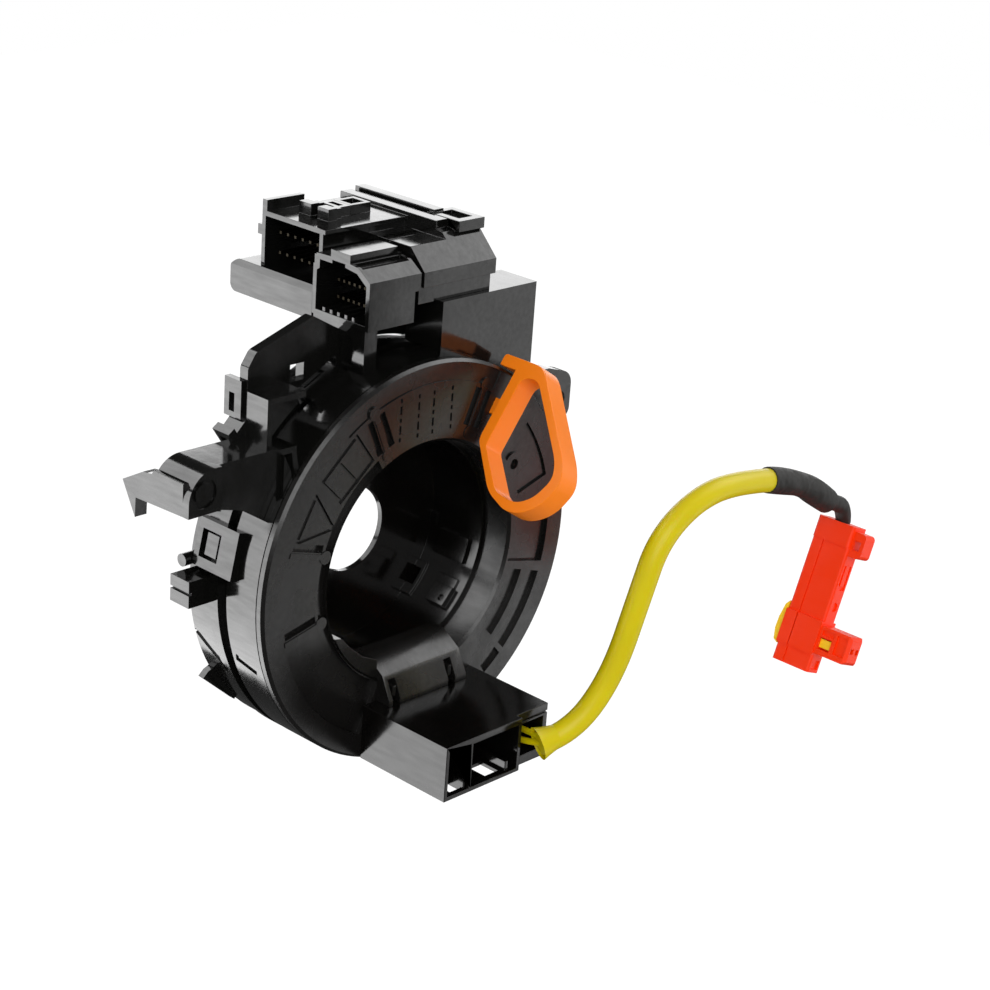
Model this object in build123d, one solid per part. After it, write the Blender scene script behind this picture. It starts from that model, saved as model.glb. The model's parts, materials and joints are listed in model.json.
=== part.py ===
from build123d import *
import os
from math import atan2, cos, degrees, hypot, radians, sin

# Steering clock spring. Millimetres, +Z up, the steering axis along Y, the steering wheel
# side at -Y. Drawn with y = 0 in the plane of the rotor face; export() moves every part so
# that the origin lies on the axis in the plane of the rear seat, where the spigot starts.

# Driving dimensions of the turning parts
disc_radius = 49.0
disc_thickness = 2.0
rim_bevel = 0.7
bore_radius = 29.4
hub_length = 8.0
hub_wall = 3.1
sleeve_inner_radius = 28.3
sleeve_wall = 3.2
column_hole_radius = 10.6
bore_floor_back = 26.4
bore_floor_thickness = 1.5
keeper_width = 2.5
keeper_thickness = 1.5
face_band_inner = 32.6
face_band_outer = 43.2
outline_width = 0.9
outline_depth = 0.5

# Driving dimensions of the fixed housing
case_front_end = 12.2
case_rear_start = 15.3
case_end = 25.5
case_wall = 2.5
case_skin = 1.5
case_floor = 2.0
case_overlap_end = 20.0
panel_front = 13.4
panel_back = 16.0
rear_step_start = 18.2
rear_step_depth = 0.35
spigot_gap = 1.4
spigot_wall = 1.6
spigot_length = 4.0

# Clearances
running_gap = 0.3
bearing_gap = 0.08
slide_gap = 0.1

# Flat cable inside the housing
ribbon_hub_gap = 1.7
ribbon_wall = 1.4
liner_thickness = 0.4

# Lead block on the steering wheel side
block_left = -16.8
block_main_right = 8.1
block_right = 18.8
block_front = -28.0
block_side_front = -26.2
block_bottom = -46.0
block_top = -32.2
block_wall = 1.0
cavity_split = -8.5
cavity_depth = 16.0
hood_half_width = 12.7
hood_front = -4.6
pin_width = 0.64

# Locking tab, a loop that stands out from the disc in a radial plane
lock_angle = 58.0
lock_depth = 6.5
lock_tip_clearance = 0.4

# Connector tower on top of the housing
tower_front = 6.0
tower_left = 8.0
tower_right = 39.2
tower_top = 60.3
tower_back = 17.8
stem_back = 24.5
stem_right = 18.0
stem_wall = 2.2
tower_wall = 1.8
cover_left = 1.3
cover_right = 24.7
cover_slot_top = 64.6
cover_slot_depth = 1.6
cover_edge = 68.2
cover_shoulder_y = 12.4
cover_shoulder_z = 74.6
cover_low_roof = 73.2
cover_low_right = 12.6
cover_low_back = 24.7
cover_top = 75.9
cover_back = 45.0
cover_wall = 1.6
small_mouth = -15.5
small_front = 6.0
small_back = 24.7
small_right = 0.4
small_foot_right = -1.3
small_foot_top = 64.2
small_bottom = 57.0
small_top = 73.2
small_wall = 1.2
small_depth = 11.0
large_mouth = -12.9
large_front = 24.7
large_back = 45.6
large_top = 75.9
large_wall = 1.2
large_depth = 13.5
shelf_left = -15.5
shelf_bottom = 55.3
shelf_top = 63.0
shelf_back = 53.3

# Cable and airbag plug
sleeve_cord_radius = 2.9
tape_radius = 3.05
lead_radius = 2.0
wire_radius = 0.75
plug_at = (104.9, -45.0, -0.6)
plug_tilt = 20.5
plug_length = 38.5
plug_half_width = 2.7
plug_half_depth = 5.6
plug_seam = 1.9
plug_cap_seam = 3.4
plug_cap_length = 5.6
plug_wall = 1.0
plug_inset = 0.45
collar_top = -25.1
collar_bottom = -33.9
collar_half_width = 3.3
nose_reach = 9.5
nose_half_width = 3.0
nose_top = -26.0
nose_bottom = -33.3
retainer_leg = 0.8

# Values that follow from the dimensions above
hub_outer_radius = bore_radius + hub_wall
sleeve_outer_radius = sleeve_inner_radius + sleeve_wall
case_front = disc_thickness + running_gap
case_bore = sleeve_outer_radius + bearing_gap
keeper_start = case_end + running_gap
sleeve_end = keeper_start + keeper_thickness
spigot_radius = sleeve_outer_radius + keeper_width + spigot_gap + spigot_wall
overlap_radius = disc_radius - case_wall
case_inner_radius = overlap_radius - case_skin
ribbon_outer_radius = case_inner_radius
ribbon_inner_radius = max(hub_outer_radius, sleeve_outer_radius) + ribbon_hub_gap
rear_clearance_radius = disc_radius + 0.1
clip_front = 9.0
clip_back = 22.2
clip_inner = disc_radius
clip_thickness = 1.8


# Small shape helpers
def box(x0, x1, y0, y1, z0, z1):
    return Pos((x0 + x1) / 2, (y0 + y1) / 2, (z0 + z1) / 2) * Box(x1 - x0, y1 - y0, z1 - z0)


def rod(radius, y0, y1, x=0.0, z=0.0):
    return Pos(x, (y0 + y1) / 2, z) * Rot(X=90) * Cylinder(radius, y1 - y0)


def rod_x(radius, x0, x1, y, z):
    return Pos((x0 + x1) / 2, y, z) * Rot(Y=90) * Cylinder(radius, x1 - x0)


def ring(outer, inner, y0, y1):
    return rod(outer, y0, y1) - rod(inner, y0 - 1, y1 + 1)


def plate_y(points, y0, y1):
    face = make_face(Polyline(*[(x, y0, z) for x, z in points], close=True))
    return extrude(face, amount=y1 - y0, dir=(0, 1, 0))


def plate_x(points, x0, x1):
    face = make_face(Polyline(*[(x0, y, z) for y, z in points], close=True))
    return extrude(face, amount=x1 - x0, dir=(1, 0, 0))


def soft_face(points, radii):
    face = make_face(Polyline(*points, close=True))
    for point, radius in zip(points, radii):
        if radius > 0:
            face = fillet(face.vertices().sort_by_distance(point)[0], radius)
    return face


def soft_plate_y(points, radii, y0, y1):
    face = soft_face([(x, y0, z) for x, z in points], radii)
    return extrude(face, amount=y1 - y0, dir=(0, 1, 0))


def soft_plate_z(points, radii, z0, z1):
    face = soft_face([(x, y, z0) for x, y in points], radii)
    return extrude(face, amount=z1 - z0, dir=(0, 0, 1))


def bar_y(a, b, width, y0, y1):
    half = width / 2
    reach = hypot(b[0] - a[0], b[1] - a[1])
    angle = degrees(atan2(b[1] - a[1], b[0] - a[0]))
    return Pos(a[0], 0, a[1]) * Rot(Y=-angle) * box(-half, reach + half, y0, y1, -half, half)


def at(radius, angle):
    return radius * cos(radians(angle)), radius * sin(radians(angle))


def wedge(angle0, angle1, y0, y1):
    reach = 3 * disc_radius
    middle = (angle0 + angle1) / 2
    return plate_y([(0, 0), at(reach, angle0), at(reach, middle), at(reach, angle1)], y0, y1)


def sector(outer, inner, angle0, angle1, y0, y1):
    return ring(outer, inner, y0, y1) & wedge(angle0, angle1, y0, y1)


def around(shape, angle):
    return Rot(Y=-angle) * shape


# Turning disc that faces the steering wheel
def rotor_disc():
    disc = ring(disc_radius, bore_radius, 0, disc_thickness)
    disc = chamfer(disc.edges().filter_by(GeomType.CIRCLE).group_by(Axis.Y)[0], rim_bevel)
    disc += ring(hub_outer_radius, bore_radius, disc_thickness, hub_length)
    deep = disc_thickness * 0.55
    shallow = disc_thickness * 0.3
    disc -= sector(face_band_outer, face_band_inner, -164, -114, -1, deep)
    disc -= sector(face_band_inner + 0.2, bore_radius + 0.6, 119, 246, -1, 0.7 * disc_thickness)
    disc -= sector(disc_radius - 0.8, face_band_outer + 0.7, 62, 125, -1, 0.3)
    disc -= sector(36.6, 33.2, -45.5, -17.5, -1, deep)
    disc -= sector(face_band_outer, 40.0, -45.5, -17.5, -1, deep)
    disc -= sector(face_band_outer, 30.6, -14, 9, -1, deep)
    disc += sector(39.7, 30.6, -13, 8, 0.4, disc_thickness)
    disc += sector(35.5, 30.6, -11.5, 8, 0.1, disc_thickness)
    disc -= sector(face_band_outer, 40.3, -56, -47.5, -1, deep)
    disc -= sector(face_band_outer, 33.0, 17, 40, -1, shallow)
    disc += rod(3.0, 0.1, disc_thickness, *at(34.5, 31))
    disc -= rod(1.3, -1, deep, *at(34.5, 31))
    disc -= face_outlines()
    for angle in (66.5, 114, 164, -167):
        rib = box(face_band_inner, face_band_outer, -0.2, deep, -0.6, 0.6)
        rib += rod(1.6, -0.2, deep, face_band_inner - 0.4, 0)
        slot = box(face_band_inner + 1, face_band_outer - 0.4, -0.5, deep, -2.8, -1.0)
        if angle in (66.5, 114):
            rib += rod(1.6, -0.2, deep, face_band_outer + 0.8, 0)
            slot += box(face_band_inner + 1, face_band_outer - 0.4, -0.5, deep, 1.0, 2.8)
        disc -= around(slot, angle)
        disc += around(rib, angle)
    disc -= lock_peg(slide_gap)
    disc -= lead_slot(0)
    return disc


# Plain outlines sunk in the face: a frame, a triangle and four rows of short dashes
def face_outlines():
    frame = [(-23.0, 35.9), (-32.8, 27.1), (-26.9, 21.3), (-17.8, 29.1)]
    triangle = [(-34.4, 24.2), (-39.7, 14.5), (-28.9, 15.4)]
    cut = bar_y((-27.4, 30.1), (-22.3, 25.0), outline_width, -1, outline_depth)
    for corners in (frame, triangle):
        for a, b in zip(corners, corners[1:] + corners[:1]):
            cut += bar_y(a, b, outline_width, -1, outline_depth)
    for x in (-9.6, -4.0, 0.7, 6.6):
        for row in range(5):
            z, half = 41.6 - 2.35 * row, 0.5 + 0.5 * (row % 2)
            cut += bar_y((x, z - half + 0.3), (x, z + half - 0.3), 0.6, -1, outline_depth)
    return cut


# Slot in the disc and hub where the flat cable passes to the lead block
def lead_slot(margin):
    return box(-9 - margin, 9 + margin, -0.5, hub_length - 2, -(hub_outer_radius + 2.6), -bore_radius - 0.6)


# Rear half of the hub that clips into the disc and keeps the housing in place
def rotor_sleeve():
    floor_front = bore_floor_back - bore_floor_thickness
    body = ring(sleeve_outer_radius, sleeve_inner_radius, hub_length, sleeve_end)
    body += ring(sleeve_inner_radius + 0.5, column_hole_radius, floor_front, bore_floor_back)
    body += ring(sleeve_outer_radius + keeper_width, sleeve_outer_radius - 1, keeper_start, sleeve_end)
    wall = sleeve_inner_radius + 0.2
    for angle in (-24, 66, 156, -114):
        body += around(sector(wall, sleeve_inner_radius - 0.9, -6.5, 6.5, 11, 21), angle + 7.5)
        body += around(sector(wall, sleeve_inner_radius - 0.7, -3, 3, 22.7, floor_front + 0.1), angle + 17)
        body += around(sector(wall, sleeve_inner_radius - 0.8, -9.5, 9.5, 21.5, floor_front + 0.1), angle - 15.5)
        window = box(sleeve_inner_radius - 2, sleeve_outer_radius + 1, 22.5, floor_front, -2.2, 2.2)
        body -= around(window, angle - 14.5)
    latch = box(sleeve_inner_radius - 1.6, sleeve_inner_radius + 0.3, 10.1, 16.1, -2.6, 2.6)
    latch -= rod_x(0.8, sleeve_inner_radius - 4, sleeve_inner_radius - 1.0, 11.8, -0.8)
    body += around(latch, -42)
    body += around(sector(wall, sleeve_inner_radius - 0.5, -2.5, 2.5, 10.5, 17), -34)
    return body


# Front half of the fixed housing, with its clips, hook arm and top pedestals
def stator_front_case():
    body = ring(disc_radius, case_inner_radius, case_front, case_front_end)
    body += ring(overlap_radius, case_inner_radius, case_front_end, case_overlap_end)
    body -= left_mark()
    body += hook_arm()
    body += right_lug()
    body += (left_pocket() + tower() + small_pedestal()) - rod(rear_clearance_radius, case_front_end, 60)
    for angle in clip_angles():
        body -= around(box(clip_inner + 0.05, clip_inner + 4, case_front_end, 40, -6.6, 6.6), angle)
        body += around(clip(), angle)
    body -= rod(case_inner_radius, case_front - 5, case_overlap_end + 5)
    return body


def clip_angles():
    return (168, 117, 5, -40, -88)


# Spring clip with a window, reaching back over the joint of the two halves
def clip():
    half = 5.6
    leg = box(clip_inner - 0.4, clip_inner + clip_thickness, clip_front, clip_back, -half, half)
    leg -= ring(clip_inner, 1, clip_front - 1, clip_back + 1) & box(0, 99, case_front_end, 99, -9, 9)
    leg -= box(0, 99, 14.4, 20.6, -3.3, 3.3)
    root = box(clip_inner - 2, clip_inner + clip_thickness, clip_front, clip_front + 3, -half, half)
    return leg + (root - rod(clip_inner - 1.5, 0, 60))


# Snap hook at the left that holds the unit to the column
def hook_arm():
    left, right, bottom, top = -68.3, -40.0, 26.1, 36.2
    front = case_front + 0.2
    profile = [(left, bottom), (-60.5, 26.2), (-52.7, 24.2), (-44.8, 19.3), (-39, 26), (right, 31),
               (-42.7, top), (left, top)]
    arm = soft_plate_y(profile, (0, 0, 0, 0, 0, 0, 0.8, 7.0), front, front + 12.0)
    arm -= box(-59.5, -42, front - 1, front + 1.2, 0, 99)
    side = plate_x([(front + 2, bottom), (front + 2, 34.1), (13.9, 34.2), (15.0, 32.6), (18.0, 32.2),
                    (25.0, 28.4), (20.6, 20.9), (20.4, 25.5)], left, left + 3.2)
    arm += side & box(left, left + 3.2, 0, 60, 0, 33.5)
    arm -= rod(3.4, front - 1, front + 0.5, -64.2, 31.0)
    arm += rod(2.4, front - 0.1, front + 2, -64.2, 31.0)
    return arm


# Screw lug at the right, behind the locking tab
def right_lug():
    outline = [(36, 22), (57.6, 21.5), (57.6, 33.4), (49, 36), (36, 36)]
    lug = soft_plate_y(outline, (0, 3.0, 4.0, 0, 0), 8.5, case_front_end)
    lug -= rod(2.4, 0, 60, 53.2, 27.0)
    return lug


# Box at the upper left with the open pocket, and the panel behind it
def left_pocket():
    pocket = box(-43.7, -32.8, 6.5, 18.5, 33, 46.7)
    pocket -= box(-42.3, -31.0, 5, panel_front, 34.4, 45.3)
    panel = soft_plate_y([(-43.7, 44), (-43.7, 51.9), (-41.5, 55.2), (-25.2, 60.7), (-19, 57.3),
                          (-15.2, 55.4), (-12, 55.4), (-12, 40), (-30, 36)],
                         (0, 2.0, 2.0, 1.0, 0, 0, 0, 0, 0), panel_front, panel_back)
    panel -= box(-31.5, -27.5, 10, 20, 46.5, 50.5)
    loop = box(-44.6, -43.0, panel_front + 1, 20.0, 40.0, 48.9) - box(-50, -40, 16.6, 18.4, 41.3, 45.6)
    slant = box(-1, 1, 0, 5.5, -4, 4) - box(-2, 2, 2.2, 4.4, -2, 2)
    slant = Pos(-45.6, panel_front, 35.0) * Rot(Y=-35) * slant
    strut = plate_y([(-46.5, 37.5), (-43.0, 41.0), (-36, 38), (-40, 31)], panel_front, 18.5)
    return pocket + panel + loop + slant + strut


# Square tower whose walls rise from the ring
def tower():
    outer = box(tower_left, tower_right, tower_front, tower_back, 20, tower_top)
    inner = box(tower_left + tower_wall, tower_right - tower_wall, tower_front + tower_wall,
                tower_back - tower_wall, 10, tower_top - tower_wall)
    walls = outer - inner
    walls -= rod(disc_radius - 1.0, 0, case_front_end)
    return walls & box(0, 99, 0, 99, 24, 99)


# Stem below the small connector: a thin side wall and a back wall, open at the right
def small_pedestal():
    left = small_mouth + 0.3
    stem = box(left, left + stem_wall, small_front + 1.2, stem_back, 40, small_bottom)
    stem += box(left, stem_right, stem_back - stem_wall, stem_back, 40, small_bottom)
    stem += box(left, left + stem_wall + 1.6, small_front + 1.2, small_front + 2.6, 40, small_bottom)
    stem -= box(left - 1, left + 0.6, 11.0, 15.5, 47.6, 54.4)
    stem -= rod(disc_radius - 1.0, 0, case_front_end)
    return stem


# Rear half of the fixed housing
def stator_rear_case():
    body = ring(disc_radius, overlap_radius, case_rear_start, rear_step_start)
    body += ring(disc_radius - rear_step_depth, overlap_radius, rear_step_start, case_end)
    body += ring(overlap_radius + 0.5, case_bore, case_end - case_floor, case_end)
    for angle in clip_angles():
        nub = box(disc_radius - 1, disc_radius + 1.2, 15.6, 19.4, -2.6, 2.6)
        body += around(nub, angle)
    body -= left_flute()
    body += left_cube()
    body += rear_spigot()
    body += rear_pads()
    return body


# Small square lug, pin, fin and slanted flute at the lower left of the rear half
def left_cube():
    rim = disc_radius
    cube = box(-rim - 7.4, 3 - rim, 16.3, 22.8, -2.6, 3.8) - box(-rim - 9, -rim - 6.6, 16, 23, 0.4, 1.1)
    pin = rod_x(1.5, -rim - 3.4, 3 - rim, 23.9, 5.6)
    corners = [at(rim - 1.9, 209.5), at(rim + 1.3, 209), at(rim + 3.2, 209.5), at(rim + 0.4, 223.4),
               at(rim - 3.7, 223.2)]
    fin = plate_y(corners, case_end - 1.8, case_end)
    return (cube + pin + fin) - rod(rim - 1.5, 0, 60)


def left_flute():
    flute = Rot(X=-45) * box(disc_radius - 0.8, disc_radius + 1, -6.0, 6.0, -0.8, 0.8)
    return around(Pos(0, 21.0, 0) * flute, 201)


def left_mark():
    mark = Rot(X=-15) * box(disc_radius - 0.4, disc_radius + 1, -3.4, 3.4, -1.0, 1.0)
    return around(Pos(0, 7.8, 0) * mark, 199)


# Centring spigot on the back, that enters the ring of the column switch carrier
def rear_spigot():
    return ring(spigot_radius, spigot_radius - spigot_wall, case_end - 0.5, case_end + spigot_length)


# Shallow pads on the back that rest on the column switch carrier
def rear_pads():
    pads = None
    for angle in (45, 135, -45, -135):
        pad = sector(disc_radius - 1.2, spigot_radius + 5.5, -9, 9, case_end - 0.5, case_end + 0.8)
        pads = around(pad, angle) if pads is None else pads + around(pad, angle)
    return pads


# Wound flat cable, seen only through the slot
def flat_cable():
    front = case_front + liner_thickness + running_gap
    back = case_end - case_floor - liner_thickness - running_gap
    outer_turns = ring(ribbon_outer_radius, ribbon_outer_radius - ribbon_wall, front, back)
    inner_turns = ring(ribbon_inner_radius + ribbon_wall, ribbon_inner_radius, front, back)
    middle = (ribbon_outer_radius + ribbon_inner_radius) / 2
    bend_gap = (ribbon_outer_radius - ribbon_inner_radius) / 2 - ribbon_wall
    loop = Pos(0, 0, middle) * (rod(bend_gap + 0.3, front, back) - rod(bend_gap - 0.3, front - 1, back + 1))
    loop &= box(0, 20, 0, 60, 0, 60)
    return outer_turns + inner_turns + loop


# Thin sliding sheets at both sides of the flat cable
def slide_sheet_front():
    y0 = case_front
    return ring(case_inner_radius, hub_outer_radius + 1.2, y0, y0 + liner_thickness)


def slide_sheet_rear():
    y1 = case_end - case_floor
    return ring(case_inner_radius, case_bore + 0.6, y1 - liner_thickness, y1)


# Housing of the lead block below the bore, with two plug cavities and a cable exit
def lead_block_housing():
    body = box(block_left, block_main_right, block_front, 0, block_bottom, block_top)
    body += box(block_main_right, block_right, block_side_front, 0, block_bottom, block_top)
    low, high = block_bottom + block_wall, block_top - block_wall * 1.5
    rear = block_front + cavity_depth
    for x0, x1 in cavities():
        body -= box(x0, x1, block_front - 1, rear, low, high)
    body -= box(-13.4, -9.9, -26.4, -22.4, block_bottom - 1, low + 0.5)
    body -= box(-1.4, 3.0, -26.0, -20.4, block_bottom - 1, low + 0.5)
    body += box(-9.9, -9.2, -27.2, rear, low, low + 2.4)
    body += box(4.0, 5.0, -27.2, rear, low, low + 2.4)
    x0, x1 = block_main_right + 1.2, block_right - 1.5
    body -= box(x0, x1, block_side_front - 1, -13.5, block_bottom + 2.4, block_top - 3.0)
    body -= box(block_main_right + 0.6, block_right + 1, block_side_front - 1, block_side_front + 0.5,
                block_top - 2.4, block_top - 1.9)
    body -= box(-9, 9, -4.5, 1, -(hub_outer_radius + 2.6), block_top + 1) & box(-99, 99, hood_front, 1, -99, 99)
    return body - lead_block_pins()


def cavities():
    return ((block_left + block_wall, cavity_split - 0.4),
            (cavity_split + 0.4, block_main_right - block_wall * 1.1))


# Contact pins standing in a plug cavity
def cavity_pins(index, count, rows):
    x0, x1 = cavities()[index]
    rear = block_front + cavity_depth
    pitch = (x1 - x0 - 2.0) / count
    pins = None
    for row in range(rows):
        z = (block_bottom + block_top) / 2 + 1.2 + (row - (rows - 1) / 2) * 3.4
        for i in range(count):
            x = x0 + 1.0 + pitch * (i + 0.5)
            pin = box(x - pin_width / 2, x + pin_width / 2, rear - 7.0, rear + 1.5,
                      z - pin_width / 2, z + pin_width / 2)
            pins = pin if pins is None else pins + pin
    return pins


def lead_block_pins():
    return cavity_pins(0, 3, 2) + cavity_pins(1, 6, 2)


# Sloped hood that covers the flat cable lead above the block
def lead_hood():
    side = [(hood_front, block_top), (hood_front, block_top + 1.4), (-1.7, -25.2), (4.0, -21.7),
            (hub_length - 0.2, -21.7), (hub_length - 0.2, -31.5), (0, -31.5), (0, block_top)]
    hood = plate_x(side, -hood_half_width, hood_half_width)
    for x0 in (-11.5, 6.8):
        hood -= box(x0, x0 + 2.3, hood_front - 1, -1.2, block_top - 1, -26.4)
        hood += box(x0 + 0.6, x0 + 1.7, -3.6, -1.0, -30.4, -27.8)
    wing = plate_y([(-hood_half_width, -21.7), (-17.5, -19.5), (-21.5, -16.2), (-24.5, -13.0), (-27.5, -12.5),
                    (-30, -20), (-hood_half_width, -31)], 0.2, hub_length - 0.2)
    hood += wing
    hood -= ring(disc_radius * 2, bore_radius, 0, hub_length + 1)
    hood -= box(-6, 6, -0.8, hub_length + 1, -40, -26.0)
    return hood


# Loop handle that locks the rotor in the middle position until fitting
def lock_tab():
    rim = disc_radius + 0.5
    outer = [(rim, 1.6), (rim + 3.0, 1.3), (rim + 2.9, -9.9), (rim + 1.6, -12.1), (33.7, -27.7),
             (29.0, -30.0), (22.1, -27.3), (18.6, -22.2), (18.2, -18.0), (20.8, -11.5), (31.3, -2.3),
             (rim - 0.8, -3.5), (rim, -3.5)]
    window = [(rim - 1.2, -6.3), (rim - 0.4, -10.9), (33.0, -25.5), (29.0, -27.1), (23.3, -24.4),
              (20.6, -19.9), (21.5, -13.6), (30.6, -5.1)]
    half = lock_depth / 2
    body = soft_plate_z(outer, (0.5, 1, 1, 1.5, 5, 6, 5, 2, 4, 2, 2, 0, 0), -half, half)
    body -= soft_plate_z(window, (2.2, 2.2, 4, 4, 3, 3, 1.5, 1), -half - 1, half + 1)
    return around(body, lock_angle) + lock_peg(0)


# Peg under the lock that sits in the disc
def lock_peg(margin):
    peg = box(38.2 - margin, 42.2 + margin, -3.4 - margin, disc_thickness - lock_tip_clearance + margin,
              -1 - margin, 1 + margin)
    return around(peg, lock_angle)


# Electronics cover with its sloped front
def tower_cover():
    side = [(tower_front, cover_slot_top), (tower_front, cover_edge), (cover_shoulder_y, cover_shoulder_z),
            (20.3, cover_top), (cover_back, cover_top), (cover_back, tower_top),
            (tower_front + cover_slot_depth, tower_top), (tower_front + cover_slot_depth, cover_slot_top)]
    w = cover_wall
    front = tower_front + cover_slot_depth + w
    inside = [(front, tower_top - 1), (front, cover_edge - 0.4), (cover_shoulder_y + 0.8, cover_shoulder_z - w),
              (20.3, cover_top - w), (cover_back - w, cover_top - w), (cover_back - w, tower_top - 1)]
    outside = plate_x(side, cover_left, cover_right)
    cover = outside - plate_x(inside, cover_left + w, cover_right - w)
    cover += outside & box(0, cover_low_right + w, 0, cover_low_back + w, cover_low_roof - w, 99)
    cover -= box(0, cover_low_right, 0, cover_low_back, cover_low_roof, 99)
    cover -= box(0, cover_low_right, 17.6, 18.0, cover_low_roof - 0.4, 99)
    lip = box(cover_left, cover_low_right, cover_low_back - 0.9, cover_low_back + 0.5, cover_top - 1, cover_top)
    return cover + lip + top_rail() + latch_frame(cover_left, 7.7)


# Raised rail and frame along the right edge of the roof
def top_rail():
    low, back = cover_top - 1.0, cover_back + 2.0
    strip = box(cover_low_right, 16.2, 18.5, back, low, cover_top + 0.9)
    rail = box(17.4, 20.5, 20.0, back, low, cover_top + 1.6)
    block = box(cover_low_right, 17.0, 14.5, 19.5, low - 1.0, cover_top + 0.9)
    frame = box(16.5, cover_right + 0.2, 10.8, 21.5, cover_top - 1.6, cover_top + 1.0)
    frame -= box(18.5, 22.9, 13.0, 19.7, 0, 99)
    return strip + rail + block + frame


# Low frame round the latch on the roof, shared by the cover and the large connector
def latch_frame(x0, x1):
    frame = box(x0, x1, 31.2, 37.3, cover_top - 0.3, cover_top + 2.3)
    return frame - box(x0 + 1.2, x1 - 1.2, 32.4, 36.1, cover_top, 99)


# Housing of the small connector at the front of the tower
def small_connector_housing():
    outline = [(small_front, small_bottom), (small_front, 68.3), (9.8, 70.9), (12.7, 71.2), (12.7, small_top),
               (19.1, small_top), (19.1, 71.5), (small_back - 0.9, 71.3), (small_back - 0.9, 69.1),
               (small_back, 68.7), (small_back, small_bottom)]
    body = plate_x(outline, small_mouth, small_right)
    w = small_wall
    hole = [(small_front + w, small_bottom + w), (small_front + w, 67.2), (10.4, 69.5), (14.3, 70.0),
            (14.3, 70.8), (18.5, 70.8), (18.5, 70.0), (small_back - 2.1, 70.0), (small_back - 2.1, 68.0),
            (small_back - w, 67.4), (small_back - w, small_bottom + w)]
    body -= plate_x(hole, small_mouth - 1, small_mouth + small_depth)
    for i in range(5):
        y = small_front + 5.3 + i * 2.45
        body += box(small_mouth + 0.4, small_mouth + small_depth, y - 0.45, y + 0.45,
                    small_bottom + w, small_bottom + w + 0.9)
    body -= box(small_mouth + 0.8, small_right - 0.9, 9.4, 12.4, 69.9, 75)
    body -= box(-1.0, small_right + 1, 0, 99, 71.6, 75)
    body += box(small_right - 0.2, cover_left, small_front + 1.5, small_back - 1.5, small_foot_top, 67.0)
    body -= box(small_foot_right, cover_left + 1, small_front - 1, small_back - 4, small_bottom - 1, small_foot_top)
    return body - small_connector_pins()


# Housing of the large connector behind it, with the base shelf
def large_connector_housing():
    body = box(large_mouth, cover_left, large_front, large_back, shelf_bottom, large_top)
    w, roof = large_wall, cover_top
    hole = [(large_front + w + 1.3, shelf_top), (large_front + w + 1.3, 69.9), (large_front + w, 69.9),
            (large_front + w, large_top - w), (large_back - w, large_top - w), (large_back - w, shelf_top)]
    body -= plate_x(hole, large_mouth - 1, large_mouth + large_depth - 1)
    shelf = box(shelf_left, cover_left, large_front, shelf_back, shelf_bottom, shelf_top)
    shelf = chamfer(shelf.edges().filter_by(Axis.Y).group_by(Axis.X)[0].group_by(Axis.Z)[-1], 1.2)
    shelf = fillet(shelf.edges().filter_by(Axis.X).group_by(Axis.Y)[-1], 2.0)
    body += shelf
    body += box(large_mouth - 0.2, cover_left, large_front - 0.9, large_front + 1, roof - 1, roof)
    body += box(large_mouth, -1.5, 44.0, large_back, roof - 0.5, roof + 2.6)
    body += latch_frame(-2.6, cover_left)
    for near, far in ((30.2, 32.2), (36.2, 38.6)):
        body += box(-7.2, -2.4, near, far, roof - 0.3, roof + 2.4)
        body += box(-7.2, -4.6, near - 0.8, far + 0.9, roof - 0.3, roof + 2.8)
    body += box(large_mouth, large_mouth + 2.0, large_back - 0.2, large_back + 1.4, 70.0, 72.4)
    return body - large_connector_pins()


def connector_pins(depth_x, y0, y1, zs, count, reach):
    pins = None
    for z in zs:
        for i in range(count):
            y = y0 + (y1 - y0) * (i + 0.5) / count
            pin = box(depth_x - reach, depth_x + 1.4, y - pin_width / 2, y + pin_width / 2,
                      z - pin_width / 2, z + pin_width / 2)
            pins = pin if pins is None else pins + pin
    return pins


def small_connector_pins():
    return connector_pins(small_mouth + small_depth, small_front + 2.6, small_back - 4.0,
                          (61.4, 65.4), 7, 7.5)


def large_connector_pins():
    return connector_pins(large_mouth + large_depth - 1, large_front + 2.6, large_back - 3.0,
                          (66.4, 71.2), 6, 10.5)


# Moulded carrier that links the pins to the flat cable and closes the cover from below
def lead_carrier():
    w = cover_wall
    front = tower_front + cover_slot_depth + w
    plate = box(cover_left + w, cover_right - w, front, cover_back - w, tower_top, tower_top + 1.8)
    for i in range(5):
        x = cover_left + w + 2.5 + i * 3.8
        plate += box(x, x + 1.0, front + 3, cover_back - w - 4, tower_top + 1.6, tower_top + 2.6)
    return plate


# Route of the free cable: the points of its straight runs and its arcs
def cable_route():
    return [(11.5, -31.0, -38.6), (18.6, -34.0, -37.1), (27.3, -37.8, -23.8), (31.5, -40.6, -2.4),
            (35.1, -41.6, 10.4), (45.6, -42.4, 18.0), (59.0, -43.2, 20.0), (73.8, -44.0, 17.5)]


def tape_route():
    return [(73.8, -44.0, 17.5), (85.3, -44.4, 14.0), (95.9, -45.0, 7.4)]


def lead_route():
    return [(95.9, -45.0, 7.4), (103.6, -45.0, 3.8), plug_at]


def length(a, b):
    return sum((p - q) ** 2 for p, q in zip(a, b)) ** 0.5


# Largest arc that fits each corner: 0.45 of the shorter run over the tangent of half the turn
def corner_radii(points):
    radii = []
    for a, b, c in zip(points, points[1:], points[2:]):
        u = [(q - p) / length(a, b) for p, q in zip(a, b)]
        v = [(q - p) / length(b, c) for p, q in zip(b, c)]
        dot = sum(p * q for p, q in zip(u, v))
        half = (1 - dot) ** 0.5 / (1 + dot) ** 0.5
        radii.append(0.45 * min(length(a, b), length(b, c)) / half)
    return radii


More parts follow.
